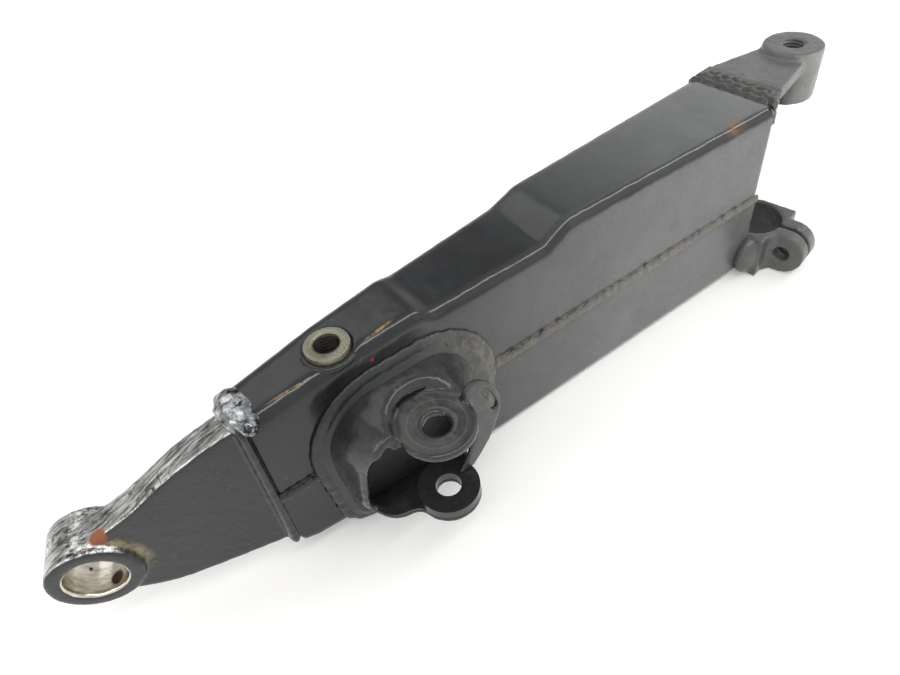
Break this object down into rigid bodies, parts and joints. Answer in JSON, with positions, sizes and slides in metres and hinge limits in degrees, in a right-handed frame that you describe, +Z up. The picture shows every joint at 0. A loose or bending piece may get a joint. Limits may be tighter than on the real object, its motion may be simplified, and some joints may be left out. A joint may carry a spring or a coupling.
{
  "type": "motorcycle front swingarm",
  "caption": "Single-sided welded box-section swingarm with a pivot eye, a pressed clevis cup on its face, and a threaded boss and a split clamp at its far end.",
  "frame": {"origin": "middle of the pivot eye's bore", "axes": "+X along the box section away from the pivot eye, +Z up and square to the top insert, -Y towards the clevis cup's side"},
  "size_m": [0.4419, 0.0978, 0.1026],
  "materials": {
    "painted_steel": "satin black paint, worn",
    "weld_metal": "satin black paint over weld beads",
    "bare_steel": "bare, dulled"
  },
  "bodies": {
    "root": {"eye_forging": "painted_steel", "upper_shell": "painted_steel", "lower_shell": "painted_steel", "top_threaded_insert": "bare_steel", "upper_lug": "painted_steel", "lower_clamp": "painted_steel", "clevis_cup": "painted_steel", "lower_lug_disc": "painted_steel", "near_joint_weld": "weld_metal", "upper_lug_weld": "weld_metal", "cup_weld": "weld_metal", "front_seam_weld_near": "weld_metal", "front_seam_weld_far": "weld_metal", "back_seam_weld": "weld_metal"}
  },
  "joints": []
}
